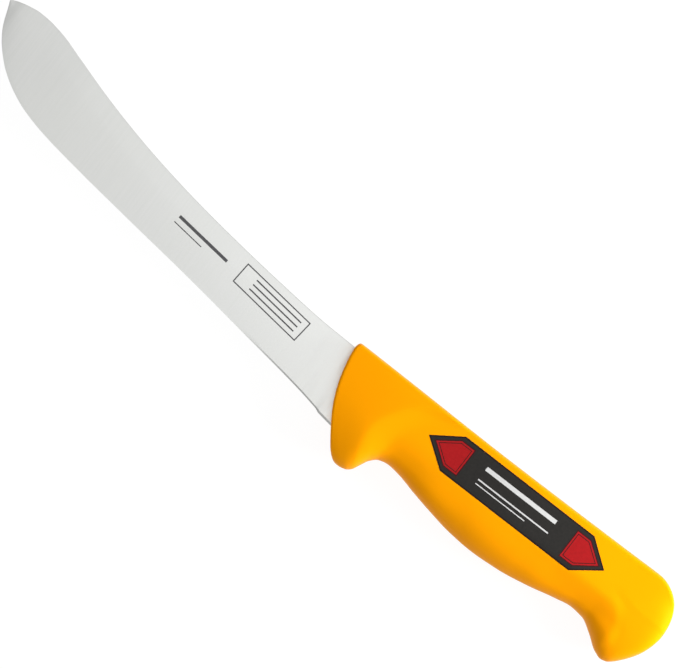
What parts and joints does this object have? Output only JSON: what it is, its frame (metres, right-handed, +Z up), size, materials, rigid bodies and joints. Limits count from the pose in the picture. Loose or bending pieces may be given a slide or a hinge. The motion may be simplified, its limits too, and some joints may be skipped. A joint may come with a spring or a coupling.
{
  "type": "butcher knife",
  "caption": "Butcher knife: long blade with a broad upturned nose, hidden tang, and a thick yellow moulded handle with front guard, finger recesses and butt hook.",
  "frame": {"origin": "under the middle of the whole knife, on the surface that it lies on", "axes": "+X from the blade's tip to the butt, parallel to the handle's straight back; +Y from the cutting edge to the spine; +Z up, out of the labelled left side"},
  "size_m": [0.3054, 0.0593, 0.022],
  "materials": {
    "blade_steel": "fine satin, ground lengthwise of the bevel",
    "core_plastic": "natural, hidden inside the handle",
    "grip_plastic": "warm yellow, satin gloss, finely textured",
    "label_foil": "black printed foil with red end fields and white rules"
  },
  "bodies": {
    "root": {"blade": "blade_steel", "handle_core": "core_plastic", "handle_grip": "grip_plastic", "label_foil": "label_foil"}
  },
  "joints": []
}
